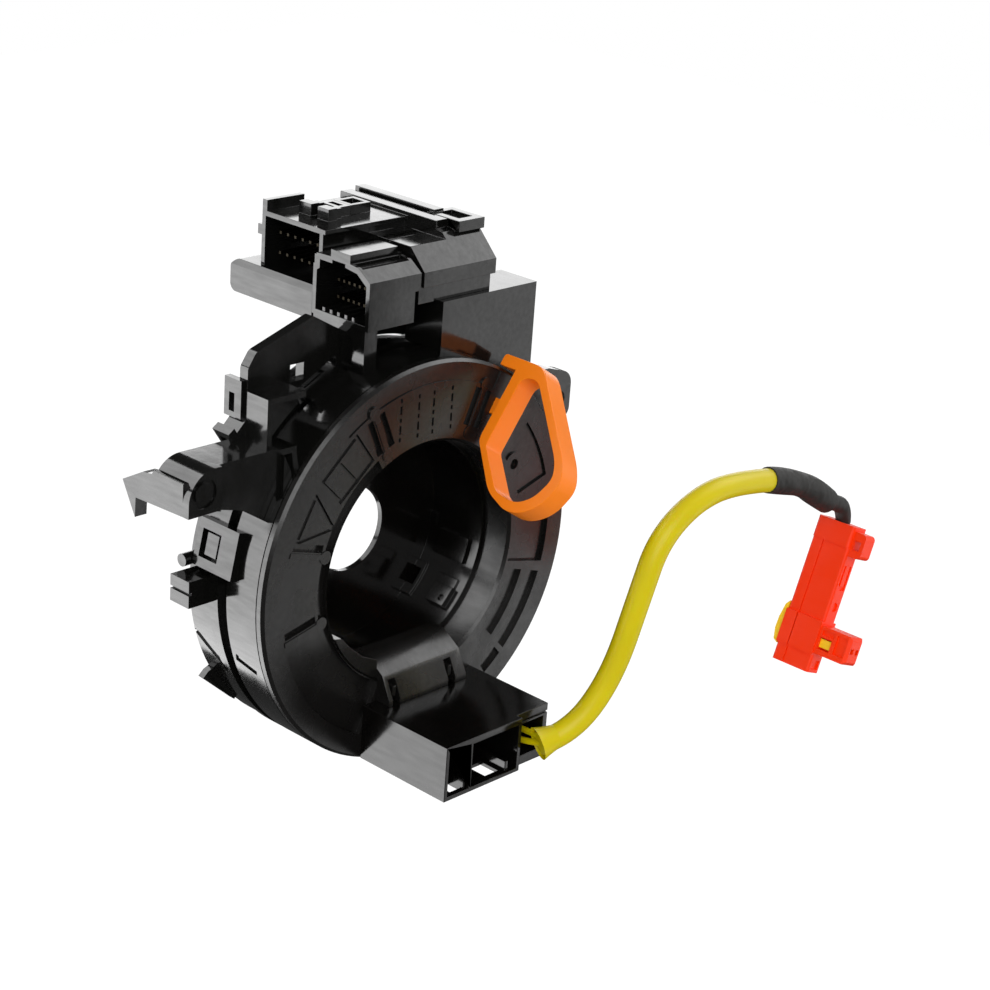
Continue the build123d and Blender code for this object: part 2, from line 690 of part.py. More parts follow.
def tube(points, radius):
    radii = corner_radii(points)
    print("tube", [round(r, 1) for r in radii])
    path = FilletPolyline(*points, radius=radii)
    start = Plane(origin=path @ 0, z_dir=path % 0)
    return sweep(start * Circle(radius), path=path)


# Yellow protective sleeve, flared where it is cut off near the block
def cable_sleeve():
    points = cable_route()
    body = tube(points, sleeve_cord_radius)
    a, b = points[0], points[1]
    start = Plane(origin=a, z_dir=[q - p for p, q in zip(a, b)])
    flare = Cone(sleeve_cord_radius * 1.28, sleeve_cord_radius, 6, align=(Align.CENTER, Align.CENTER, Align.MIN))
    hollow = Cone(sleeve_cord_radius * 1.05, sleeve_cord_radius * 0.75, 4.5,
                  align=(Align.CENTER, Align.CENTER, Align.MIN))
    return body + start * flare - start * hollow


# Tape round the end of the sleeve, then the two taped wires into the plug
def cable_tape():
    return tube(tape_route(), tape_radius) - tube(cable_route(), sleeve_cord_radius)


def cable_lead():
    return tube(lead_route(), lead_radius) - cable_tape()


# Two wires from the block into the cable sleeve
def cable_wires():
    wires = None
    for dz in (-1.1, 1.1):
        points = [(13.2 + dz * 0.6, -13.5, -39.4 + dz), (12.8 + dz * 0.6, -23.5, -39.8 + dz),
                  (12.6, -31.4, -38.2 + dz * 0.8)]
        wire = tube(points, wire_radius)
        wires = wire if wires is None else wires + wire
    return wires - cable_sleeve() - lead_block_housing()


# Airbag plug, drawn hanging from its cable end and then tilted into place
def plug_place(shape):
    return Pos(*plug_at) * Rot(Y=plug_tilt) * shape


def squib_housing():
    d, end = plug_half_depth, -plug_half_depth - nose_reach
    body = plug_half(-2 * d, plug_seam, plug_cap_seam)
    nose = box(-nose_half_width, nose_half_width, end, 0.5 - d, nose_bottom, nose_top)
    nose = chamfer(nose.edges().group_by(Axis.Y)[0], 0.8)
    for y0, y1, z0, z1 in ((-4.6, -0.9, -28.2, -26.9), (-8.4, -5.4, -31.8, -26.9)):
        nose -= box(-9, plug_inset - nose_half_width, y0 - d, y1 - d, z0, z1)
    nose -= box(-9, -1.2, -4.2 - d, -0.7 - d, -31.9, -28.8)
    latch = box(-2.2, 2.2, -d - 3.6, 0.2 - d, -7.5, -1.0)
    latch = fillet(latch.edges().filter_by(Axis.X).group_by(Axis.Y)[0], 1.2)
    latch -= box(-9, 9, -d - 2.6, -d - 0.8, -5.6, -3.2)
    body += nose + latch
    body -= box(-1.6, 1.6, -9, plug_inset - d, -16.5, -10.0) - box(-0.8, 0.8, -9, d, -15.5, -9.0)
    body -= rod(1.2, -9, plug_inset - d, 0, -21.0)
    body -= box(-1.5, 1.5, -9, plug_inset - d, -37.6, -35.2)
    for x in (-1.2, 1.2):
        body -= contact_hole(x, end - 1)
    body -= retainer_legs(slide_gap)
    return plug_place(body) - tube(lead_route(), lead_radius)


# Hollow body of the plug between two parting planes: cap, long grip and thicker collar
def plug_half(y0, seam, cap_seam):
    w, d = plug_half_width, plug_half_depth
    grip = box(-w, w, -d, d, -plug_length, 0)
    cap = box(-w - plug_inset, w + plug_inset, -d, d, -plug_cap_length, 0)
    cap = fillet(cap.edges().filter_by(Axis.Z), 1.0)
    collar = box(-collar_half_width, collar_half_width, -d, d, collar_bottom, collar_top)
    body = fillet(grip.edges().filter_by(Axis.Z), 0.8) + cap + collar
    body -= box(-w + plug_wall, w - plug_wall, -d + plug_wall, d - plug_wall, 1.5 - plug_length, -1.5)
    low, high = min(y0, seam), max(y0, seam)
    cap_low, cap_high = min(y0, cap_seam), max(y0, cap_seam)
    return body & (box(-9, 9, low, high, -99, -plug_cap_length) + box(-9, 9, cap_low, cap_high, -plug_cap_length, 9))


# Square hole in the nose for one contact, closed by the contact itself at its inner end
def contact_hole(x, start):
    z, half = (nose_bottom + nose_top) / 2, 0.7
    return box(x - half, x + half, start, 5.4 - plug_half_depth - nose_reach, z - half, z + half)


def squib_cover():
    w, d = plug_half_width, plug_half_depth
    lid = plug_half(2 * d, plug_seam, plug_cap_seam)
    for side in (-1, 1):
        groove = box(w - 0.3, 9, plug_seam - 0.1, plug_seam + 0.35, -99, -plug_cap_length)
        lid -= groove if side > 0 else mirror(groove, Plane.YZ)
    lid -= retainer_legs(slide_gap)
    return plug_place(lid) - tube(lead_route(), lead_radius)


def retainer_legs(margin):
    d, m = plug_half_depth, margin
    legs = box(-1.9 - m, 1.9 + m, -d - nose_reach * 0.75 - m, d + 1, nose_top - 0.8 - retainer_leg - m,
               nose_top - 0.8 + m)
    legs += box(-1.9 - m, 1.9 + m, -d - nose_reach * 0.85 - m, d + 1, nose_bottom - m,
                nose_bottom + retainer_leg + m)
    legs += box(-1.5 - retainer_leg - m, -1.5 + m, -d - 3.8 - m, d + 1, -31.4 - m, -29.2 + m)
    return legs


def squib_retainer():
    d = plug_half_depth + 0.1
    head = plate_x([(d, -23.2), (d + 1.0, -24.4), (d + 1.7, -28.0), (d + 1.8, -31.0), (d + 1.2, -33.8),
                    (d, -34.5)], -2.6, 2.6)
    return plug_place(retainer_legs(0) + head)


def squib_terminals():
    start = 3.0 - plug_half_depth - nose_reach
    return plug_place(contact_hole(-1.2, start) + contact_hole(1.2, start))


def export(name, shape):
    shape = Pos(0, -case_end, 0) * shape
    shape = shape if isinstance(shape, Compound) else Compound(children=[shape])
    export_step(shape, "parts/" + name + ".step")
    size = shape.bounding_box()
    print("%-26s solids %d volume %.0f box %s %s" % (
        name, len(shape.solids()), shape.volume,
        [round(v, 1) for v in size.min], [round(v, 1) for v in size.max]))


def main():
    os.makedirs("parts", exist_ok=True)
    export("rotor_disc", rotor_disc())
    export("rotor_sleeve", rotor_sleeve())
    export("stator_front_case", stator_front_case())
    export("stator_rear_case", stator_rear_case())
    export("flat_cable", flat_cable())
    export("slide_sheet_front", slide_sheet_front())
    export("slide_sheet_rear", slide_sheet_rear())
    export("lead_block_housing", lead_block_housing())
    export("lead_block_pins", lead_block_pins())
    export("lead_hood", lead_hood())
    export("lock_tab", lock_tab())
    export("tower_cover", tower_cover())
    export("small_connector_housing", small_connector_housing())
    export("large_connector_housing", large_connector_housing())
    export("small_connector_pins", small_connector_pins())
    export("large_connector_pins", large_connector_pins())
    export("lead_carrier", lead_carrier())
    export("cable_sleeve", cable_sleeve())
    export("cable_tape", cable_tape())
    export("cable_lead", cable_lead())
    export("cable_wires", cable_wires())
    export("squib_housing", squib_housing())
    export("squib_cover", squib_cover())
    export("squib_retainer", squib_retainer())
    export("squib_terminals", squib_terminals())


main()
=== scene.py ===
import json
from math import cos, radians, sin

import bpy
from mathutils import Matrix, Vector

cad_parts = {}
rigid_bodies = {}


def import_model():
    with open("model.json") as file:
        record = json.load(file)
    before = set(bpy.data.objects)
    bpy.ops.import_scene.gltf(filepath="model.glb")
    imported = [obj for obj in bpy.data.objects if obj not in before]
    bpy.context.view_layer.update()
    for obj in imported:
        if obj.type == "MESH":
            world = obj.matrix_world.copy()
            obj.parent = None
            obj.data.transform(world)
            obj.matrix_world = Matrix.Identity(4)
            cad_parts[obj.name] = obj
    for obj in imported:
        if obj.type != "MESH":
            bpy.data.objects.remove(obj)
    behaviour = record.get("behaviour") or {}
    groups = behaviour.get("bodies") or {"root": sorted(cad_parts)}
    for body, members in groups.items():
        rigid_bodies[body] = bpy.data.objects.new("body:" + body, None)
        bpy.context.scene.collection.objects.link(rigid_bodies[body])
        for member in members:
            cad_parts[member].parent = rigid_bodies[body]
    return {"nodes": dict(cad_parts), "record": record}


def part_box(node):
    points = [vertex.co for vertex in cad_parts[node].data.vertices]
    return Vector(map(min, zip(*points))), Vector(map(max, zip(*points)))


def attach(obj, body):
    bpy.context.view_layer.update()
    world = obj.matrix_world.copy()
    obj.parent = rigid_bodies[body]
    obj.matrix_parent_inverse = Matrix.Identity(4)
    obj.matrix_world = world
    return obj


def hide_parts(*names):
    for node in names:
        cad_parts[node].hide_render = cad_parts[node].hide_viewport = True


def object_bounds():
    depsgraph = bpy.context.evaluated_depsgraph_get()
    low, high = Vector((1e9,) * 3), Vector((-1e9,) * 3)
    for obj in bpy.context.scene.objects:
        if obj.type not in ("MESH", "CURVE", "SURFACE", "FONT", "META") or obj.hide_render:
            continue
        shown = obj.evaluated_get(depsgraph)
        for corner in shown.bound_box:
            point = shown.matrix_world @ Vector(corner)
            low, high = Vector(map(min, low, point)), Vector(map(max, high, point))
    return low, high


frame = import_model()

bl_info = {
    "name": "Steering clock spring",
    "version": (1, 0, 0),
    "blender": (4, 5, 0),
    "location": "View3D > Sidebar > Clock spring",
    "description": "Finishes, fine detail, cable and studio for a steering clock spring",
    "category": "Object",
}

CAD_BOX = [list(corner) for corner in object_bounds()]
NODES = frame["nodes"]
MM = 0.001

# The photograph's camera, fitted to the rotor's circles and the edges of the block and tower
CAMERA_PLACE = Vector((-0.3587, -0.3757, 0.2114))
CAMERA_AZIMUTH = -47.50
CAMERA_ELEVATION = 21.11
CAMERA_ROLL = -4.16
CAMERA_LENS = 84.6
CAMERA_SENSOR = 36
CAMERA_NEAR, CAMERA_FAR = 0.02, 50

# The studio: white for the camera, dark grey in reflections, and plain on matt colours
STUDIO_WHITE = "#ffffff"
WORLD_IN_REFLECTIONS = "#3c3c3c"
WORLD_FILL = 0.6
FLOOR_PAINT = "#f4f4f4"
FLOOR_IN_REFLECTIONS = "#484848"
FLOOR_GLOW = 1.12
FLOOR_GLOW_SHARE = 0.9
FLOOR_SIZE = 12

# Softboxes: name, direction from the object, distance, size in metres, radiance, and whether they
# light matt surfaces as well as reflections
STUDIO_PANELS = (
    ("back_panel", (0.72, 0.66, 0.19), 1.5, (1.7, 0.64), 2.8, False),
    ("back_left_panel", (-0.40, 0.66, 0.62), 1.4, (1.2, 0.9), 3.4, False),
    ("left_panel", (-0.66, 0.66, -0.36), 1.2, (1.15, 1.7), 4.2, False),
    ("right_panel", (0.88, -0.46, 0.12), 1.3, (0.94, 1.8), 1.05, True),
    ("low_left_panel", (0.58, -0.65, -0.49), 1.2, (0.45, 0.27), 0.7, False),
    ("top_right_panel", (0.68, -0.20, 0.70), 1.4, (1.1, 0.85), 2.4, False),
    ("key_panel", (-0.55, -0.68, 0.50), 1.4, (1.2, 1.0), 2.7, True),
)
# A flat panel's watts per square metre for a radiance of 1
WATTS_PER_RADIANCE = 3.1416

# The hub sleeve's rear end in the part's source, where y = 0 is the rotor face, and from it that
# face's place in the frame, in millimetres
HUB_END = 27.3
FACE_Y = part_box("rotor_sleeve")[1][1] / MM - HUB_END

# The cable in the source's millimetres: the sleeve's route as it is there, and the mouth's, tape's
# and lead's with their points listed. A swell is the share of the diameter at each point.
SLEEVE_ROUTE = ((11.5, -31.0, -38.6), (18.6, -34.0, -37.1), (27.3, -37.8, -23.8), (31.5, -40.6, -2.4),
                (35.1, -41.6, 10.4), (45.6, -42.4, 18.0), (59.0, -43.2, 20.0), (73.8, -44.0, 17.5))
MOUTH_ROUTE = ((11.0, -30.8, -38.7), (12.6, -31.5, -38.2), (16.2, -33.0, -36.9))
MOUTH_SWELL = (1.42, 1.15, 0.9)
TAPE_ROUTE = ((71.8, -43.9, 17.9), (76.5, -44.1, 16.8), (85.3, -44.4, 14.0), (91.0, -44.7, 10.7),
              (96.4, -45.0, 7.1))
TAPE_SWELL = (1.08, 1.16, 0.98, 1.2, 1.06)
LEAD_ROUTE = ((94.4, -45.0, 8.4), (99.0, -45.0, 6.2), (104.2, -45.0, 4.0), (104.9, -45.0, -0.6))
LEAD_SWELL = (1.2, 1.0, 1.08, 0.95)

# The lock loop in its own plane, in millimetres: distance from the axis, distance in front of the
# disc, and how far from each corner its rounding starts
LOCK_ANGLE = radians(58)
LOCK_DEPTH = 6.5
LOCK_OUTSIDE = ((49.5, -1.6, 0.5), (52.5, -1.3, 0.9), (52.4, 9.9, 1.2), (51.1, 12.1, 1.2),
                (33.7, 27.7, 2.5), (29.0, 30.0, 2.6), (22.1, 27.3, 3.3), (18.6, 22.2, 2.4),
                (18.2, 18.0, 1.7), (20.8, 11.5, 2.4), (31.3, 2.3, 1.4), (48.7, 3.5, 0.0),
                (49.5, 3.5, 0.0))
LOCK_WINDOW = ((48.3, 6.3, 2.2), (49.1, 10.9, 2.2), (33.0, 25.5, 2.2), (29.0, 27.1, 2.0),
               (23.3, 24.4, 2.6), (20.6, 19.9, 2.4), (21.5, 13.6, 1.6), (30.6, 5.1, 0.8))
LOCK_STEPS_PER_MM = 3
LOCK_PEG_CENTRE = (40.2, 0.9, 0.0)
LOCK_PEG_HALF_SIZE = (2.0, 2.5, 1.0)

# How mouldings are softened: points this near merge, faces this level become one, and edges over
# these angles are bevelled and kept sharp in the shading
MERGE_MM = 0.004
LEVEL_FACES = radians(0.6)
BEVELLED_EDGES = radians(32)
SHARP_EDGES = radians(34)

# The surface that all moulded plastics share, in millimetres: flow marks, streaks drawn out along
# y, shallow waves, the depth of the grain, and how far light goes in
FLOW_MM = 9
STREAK_MM = 1.1
STREAK_STRETCH = (1.0, 0.16, 1.0)
WAVE_STRENGTH, WAVE_MM = 0.22, 0.12
GRAIN_DEPTH_MM = 0.05
GLOW_MM = 1.5
PLAIN_SPECULAR = 0.5
NOISE_LOW, NOISE_HIGH = 0.3, 0.7

# The Mix node's colour sockets share their names with others, so they go by number
MIX_FIRST, MIX_SECOND, MIX_RESULT = 6, 7, 2


# sRGB hex to the linear colour that the shader takes
def linear(hexa):
    parts = [int(hexa[i:i + 2], 16) / 255 for i in (1, 3, 5)]
    return (*[c / 12.92 if c <= 0.04045 else ((c + 0.055) / 1.055) ** 2.4 for c in parts], 1.0)


def colour_property(name, description, hexa):
    return bpy.props.FloatVectorProperty(
        name=name, description=description, subtype="COLOR", size=4, min=0, max=1, default=linear(hexa))


class ClockSpringSizes(bpy.types.PropertyGroup):
    edge_round: bpy.props.FloatProperty(
        name="Edge round", description="Radius on the edges of the moulded housings",
        default=0.18 * MM, unit="LENGTH")
    lock_round: bpy.props.FloatProperty(
        name="Lock edge round", description="Radius on the edges of the lock loop",
        default=0.45 * MM, unit="LENGTH")
    sleeve_diameter: bpy.props.FloatProperty(
        name="Sleeve diameter", description="Diameter of the yellow cable sleeve",
        default=5.8 * MM, unit="LENGTH")
    tape_diameter: bpy.props.FloatProperty(
        name="Tape diameter", description="Diameter over the tape at the sleeve's end",
        default=6.0 * MM, unit="LENGTH")
    lead_diameter: bpy.props.FloatProperty(
        name="Lead diameter", description="Diameter of the taped lead into the airbag plug",
        default=4.0 * MM, unit="LENGTH")
    floor_drop: bpy.props.FloatProperty(
        name="Floor drop", description="Height of the held part over the studio floor",
        default=1.25, unit="LENGTH")


class ClockSpringColours(bpy.types.PropertyGroup):
    case_black: colour_property("Case black", "Glossy black of the fixed housing", "#0d0d0c")
    rotor_black: colour_property("Rotor black", "Satin black of the rotor disc and hood", "#121110")
    hub_black: colour_property("Hub black", "Polished black of the hub sleeve and lead block", "#090807")
    lock_orange: colour_property("Lock orange", "Orange of the lock loop", "#ff8414")
    plug_red: colour_property("Plug red", "Red-orange of the airbag plug", "#ff3600")
    retainer_yellow: colour_property("Retainer yellow", "Yellow of the plug's retainer", "#ffd224")
    sleeve_yellow: colour_property("Sleeve yellow", "Greenish yellow of the cable sleeve", "#dbca00")
    sleeve_shade: colour_property("Sleeve shade", "Darker tone clouded into the sleeve", "#c8b600")
    tape_grey: colour_property("Tape grey", "Dark grey of the tape", "#2a2927")
    # The contacts' colour is painted shade: far darker than real plating, so that the pins stay dim in the
    # connectors' cavities
    contact_painted_shade: colour_property("Contact metal", "Contact pins, darker than real plating", "#1c1810")
    cable_natural: colour_property("Flat cable film", "Natural tone of the flat cable", "#c9c2ae")
    slide_white: colour_property("Slide film", "White of the slide sheets", "#dddddd")


def sizes():
    return bpy.context.scene.clock_spring_sizes


def colours():
    return bpy.context.scene.clock_spring_colours


# Adds one shader node with its settings, and links given as socket name or number to output socket
def add(tree, kind, settings=None, links=None, **fields):
    node = tree.nodes.new(kind)
    for field, value in fields.items():
        setattr(node, field, value)
    for socket, value in (settings or {}).items():
        node.inputs[socket].default_value = value
    for socket, output in (links or {}).items():
        tree.links.new(output, node.inputs[socket])
    return node


def new_material(name):
    material = bpy.data.materials.new(name)
    material.use_nodes = True
    tree = material.node_tree
    tree.nodes.clear()
    return material, tree


# Injection-moulded plastic: one colour, with flow marks and streaks in its gloss and shallow waves.
# Its grain is drawn coarser than the real one, so that it shows.
def moulded_plastic(name, colour, roughness, spread, grain_mm, bump, ior=1.5, subsurface=0.0, streak=0.05):
    material, tree = new_material(name)
    where = add(tree, "ShaderNodeTexCoord").outputs["Object"]
    flow = add(tree, "ShaderNodeTexNoise", {"Scale": 1 / (FLOW_MM * MM), "Detail": 3.0, "Roughness": 0.5},
               {"Vector": where})
    gloss = add(tree, "ShaderNodeMapRange",
                {"From Min": NOISE_LOW, "From Max": NOISE_HIGH,
                 "To Min": roughness - spread, "To Max": roughness + spread},
                {"Value": flow.outputs["Fac"]})
    grain = add(tree, "ShaderNodeTexNoise", {"Scale": 1 / (grain_mm * MM), "Detail": 2.0}, {"Vector": where})
    along = add(tree, "ShaderNodeMapping", {"Scale": STREAK_STRETCH}, {"Vector": where})
    drawn = add(tree, "ShaderNodeTexNoise", {"Scale": 1 / (STREAK_MM * MM), "Detail": 4.0},
                {"Vector": along.outputs["Vector"]})
    shine = add(tree, "ShaderNodeMapRange",
                {"From Min": NOISE_LOW, "From Max": NOISE_HIGH,
                 "To Min": PLAIN_SPECULAR - streak, "To Max": PLAIN_SPECULAR + streak},
                {"Value": drawn.outputs["Fac"]})
    waves = add(tree, "ShaderNodeBump", {"Strength": WAVE_STRENGTH, "Distance": WAVE_MM * MM},
                {"Height": flow.outputs["Fac"]})
    relief = add(tree, "ShaderNodeBump", {"Strength": bump, "Distance": GRAIN_DEPTH_MM * MM},
                 {"Height": grain.outputs["Fac"], "Normal": waves.outputs["Normal"]})
    shader = add(tree, "ShaderNodeBsdfPrincipled",
                 {"Base Color": colour, "IOR": ior, "Subsurface Weight": subsurface,
                  "Subsurface Scale": GLOW_MM * MM},
                 {"Roughness": gloss.outputs["Result"], "Specular IOR Level": shine.outputs["Result"],
                  "Normal": relief.outputs["Normal"]})
    add(tree, "ShaderNodeOutputMaterial", links={"Surface": shader.outputs[0]})
    return material


# Housing of glass-filled PBT from a polished mould: black, with sharp bright reflections
def case_plastic():
    return moulded_plastic("moulded_pbt_gloss_black", colours().case_black, roughness=0.12, spread=0.04,
                           grain_mm=0.9, bump=0.06, ior=1.6, streak=0.07)


# Rotor disc and hood of POM: self-lubricating, a little duller and greyer than the housing
def rotor_plastic():
    return moulded_plastic("moulded_pom_satin_black", colours().rotor_black, roughness=0.27, spread=0.05,
                           grain_mm=0.5, bump=0.10, ior=1.58, streak=0.06)


# Hub sleeve and lead block of POM from a polished mould: nearly black
def hub_plastic():
    return moulded_plastic("moulded_pom_polished_black", colours().hub_black, roughness=0.14, spread=0.04,
                           grain_mm=0.9, bump=0.08)


# Lock loop of orange polypropylene: light goes a little way in, so its edges glow
def lock_plastic():
    return moulded_plastic("moulded_pp_orange", colours().lock_orange, roughness=0.36, spread=0.05,
                           grain_mm=0.7, bump=0.12, ior=1.36, subsurface=0.05)


# Airbag plug of red-orange PBT, satin with sharp highlights on its edges
def plug_plastic():
    return moulded_plastic("moulded_pbt_red_orange", colours().plug_red, roughness=0.38, spread=0.05,
                           grain_mm=0.6, bump=0.12, ior=1.33, subsurface=0.03)


# Retainer of yellow PA, satin
def retainer_plastic():
    return moulded_plastic("moulded_pa_yellow", colours().retainer_yellow, roughness=0.32, spread=0.04,
                           grain_mm=0.6, bump=0.1, subsurface=0.05)


# Film of the flat cable, in polyester, and of the slide sheets, in PTFE: pale and satin
def film_plastic(name, colour):
    return moulded_plastic(name, colour, roughness=0.38, spread=0.04, grain_mm=1.5, bump=0.05)


# Extruded soft PVC tube: slightly uneven yellow with a broad soft sheen
def sleeve_plastic():
    material, tree = new_material("extruded_pvc_yellow")
    where = add(tree, "ShaderNodeTexCoord").outputs["Object"]
    cloud = add(tree, "ShaderNodeTexNoise", {"Scale": 1 / (14 * MM), "Detail": 2.0}, {"Vector": where})
    tone = add(tree, "ShaderNodeMix",
               {MIX_FIRST: colours().sleeve_yellow, MIX_SECOND: colours().sleeve_shade},
               {"Factor": cloud.outputs["Fac"]}, data_type="RGBA")
    waves = add(tree, "ShaderNodeTexNoise", {"Scale": 1 / (2.2 * MM), "Detail": 1.0}, {"Vector": where})
    relief = add(tree, "ShaderNodeBump", {"Strength": 0.25, "Distance": 0.12 * MM},
                 {"Height": waves.outputs["Fac"]})
    shader = add(tree, "ShaderNodeBsdfPrincipled",
                 {"Roughness": 0.36, "Specular IOR Level": 0.3, "Subsurface Weight": 0.12,
                  "Subsurface Scale": 2 * MM},
                 {"Base Color": tone.outputs[MIX_RESULT], "Normal": relief.outputs["Normal"]})
    add(tree, "ShaderNodeOutputMaterial", links={"Surface": shader.outputs[0]})
    return material


# Wound PVC cloth tape: dark grey and matt, with its folds and its weave as bumps
def tape_cloth():
    material, tree = new_material("wound_cloth_tape_grey")
    where = add(tree, "ShaderNodeTexCoord").outputs["Object"]
    weave = add(tree, "ShaderNodeTexNoise", {"Scale": 1 / (0.45 * MM), "Detail": 2.0}, {"Vector": where})
    folds = add(tree, "ShaderNodeTexNoise", {"Scale": 1 / (3.2 * MM), "Detail": 1.0}, {"Vector": where})
    creased = add(tree, "ShaderNodeBump", {"Strength": 1.0, "Distance": 0.8 * MM},
                  {"Height": folds.outputs["Fac"]})
    relief = add(tree, "ShaderNodeBump", {"Strength": 0.5, "Distance": 0.1 * MM},
                 {"Height": weave.outputs["Fac"], "Normal": creased.outputs["Normal"]})
    shader = add(tree, "ShaderNodeBsdfPrincipled",
                 {"Base Color": colours().tape_grey, "Roughness": 0.62, "IOR": 1.45},
                 {"Normal": relief.outputs["Normal"]})
    add(tree, "ShaderNodeOutputMaterial", links={"Surface": shader.outputs[0]})
    return material


# Stamped and plated bronze contacts: satin metal whose colour is painted shade, set far darker than real
# plating so that the pins stay dim inside the connectors' shaded cavities
def contact_metal():
    material, tree = new_material("stamped_bronze_plated_painted_shade")
    where = add(tree, "ShaderNodeTexCoord").outputs["Object"]
    worn = add(tree, "ShaderNodeTexNoise", {"Scale": 1 / (1.2 * MM), "Detail": 2.0}, {"Vector": where})
    gloss = add(tree, "ShaderNodeMapRange", {"To Min": 0.25, "To Max": 0.5}, {"Value": worn.outputs["Fac"]})
    shader = add(tree, "ShaderNodeBsdfPrincipled", {"Base Color": colours().contact_painted_shade, "Metallic": 1.0},
                 {"Roughness": gloss.outputs["Result"]})
    add(tree, "ShaderNodeOutputMaterial", links={"Surface": shader.outputs[0]})
    return material


NODE_FINISH = {
    "rotor_disc": rotor_plastic, "rotor_sleeve": hub_plastic, "lead_block_housing": hub_plastic,
    "lead_hood": rotor_plastic, "stator_front_case": case_plastic, "stator_rear_case": case_plastic,
    "tower_cover": case_plastic, "small_connector_housing": case_plastic,
    "large_connector_housing": case_plastic, "lead_carrier": case_plastic,
    "lead_block_pins": contact_metal, "small_connector_pins": contact_metal,
    "large_connector_pins": contact_metal, "squib_terminals": contact_metal,
    "squib_housing": plug_plastic, "squib_cover": plug_plastic,
    "squib_retainer": retainer_plastic, "cable_wires": sleeve_plastic,
}
ROUNDED = ("rotor_disc", "rotor_sleeve", "lead_block_housing", "lead_hood", "stator_front_case",
           "stator_rear_case", "tower_cover", "small_connector_housing", "large_connector_housing",
           "squib_housing", "squib_cover")
MADE = {}


# Each finish is made once, when the first piece needs it
def made(finish):
    if finish not in MADE:
        MADE[finish] = finish()
    return MADE[finish]


def deselect():
    for item in bpy.context.view_layer.objects.selected.values():
        item.select_set(False)


def activate(item):
    deselect()
    item.select_set(True)
    bpy.context.view_layer.objects.active = item


def set_material(item, material):
    item.data.materials.clear()
    item.data.materials.append(material)


# Merges the triangles of flat faces and rounds the edges, with the flat faces left flat
def soften(piece, radius):
    activate(piece)
    bpy.ops.object.mode_set(mode="EDIT")
    bpy.ops.mesh.select_all(action="SELECT")
    bpy.ops.mesh.remove_doubles(threshold=MERGE_MM * MM)
    bpy.ops.mesh.dissolve_limited(angle_limit=LEVEL_FACES)
    bpy.ops.object.mode_set(mode="OBJECT")
    bevel = piece.modifiers.new("edge_round", "BEVEL")
    bevel.width = radius
    bevel.segments = 2
    bevel.limit_method = "ANGLE"
    bevel.angle_limit = BEVELLED_EDGES
    bpy.ops.object.modifier_apply(modifier=bevel.name)
    bpy.ops.object.shade_smooth_by_angle(angle=SHARP_EDGES)
    flat = piece.modifiers.new("flat_faces", "WEIGHTED_NORMAL")
    flat.keep_sharp = True
    flat.weight = 100
    bpy.ops.object.modifier_apply(modifier=flat.name)


def body_of_node(node_name):
    for body, names in frame["record"]["behaviour"]["bodies"].items():
        if node_name in names:
            return body
    raise ValueError(node_name)


# A copy of a moulding with rounded edges, that stands for the node
def rounded_copy(node_name):
    piece = bpy.data.objects.new(node_name + "_moulding", NODES[node_name].data.copy())
    bpy.context.scene.collection.objects.link(piece)
    soften(piece, sizes().edge_round)
    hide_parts(node_name)
    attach(piece, body_of_node(node_name))
    return piece


# A point of the part's source, in millimetres with y = 0 on the rotor face, in the frame's metres
def place(x, y, z):
    return Vector((x * MM, (y + FACE_Y) * MM, z * MM))


# A round line along a route, which the smooth curve follows as its control points
def smooth_line(name, route, diameter, swell=(), caps=True):
    curve = bpy.data.curves.new(name, "CURVE")
    curve.dimensions = "3D"
    spline = curve.splines.new("NURBS")
    spline.points.add(len(route) - 1)
    for point, spot in zip(spline.points, route):
        point.co = (*place(*spot), 1.0)
    spline.order_u = 3
    spline.use_endpoint_u = True
    spline.resolution_u = 16
    curve.bevel_depth = diameter / 2
    curve.bevel_resolution = 8
    curve.use_fill_caps = caps
    for point, share in zip(spline.points, swell):
        point.radius = share
    piece = bpy.data.objects.new(name, curve)
    bpy.context.scene.collection.objects.link(piece)
    return piece


def line_length(route):
    line = smooth_line("measure", route, 0.0, caps=False)
    mesh = bpy.data.meshes.new_from_object(line)
    ends = [[mesh.vertices[i].co for i in edge.vertices] for edge in mesh.edges]
    total = sum((start - end).length for start, end in ends)
    bpy.data.objects.remove(line)
    return total


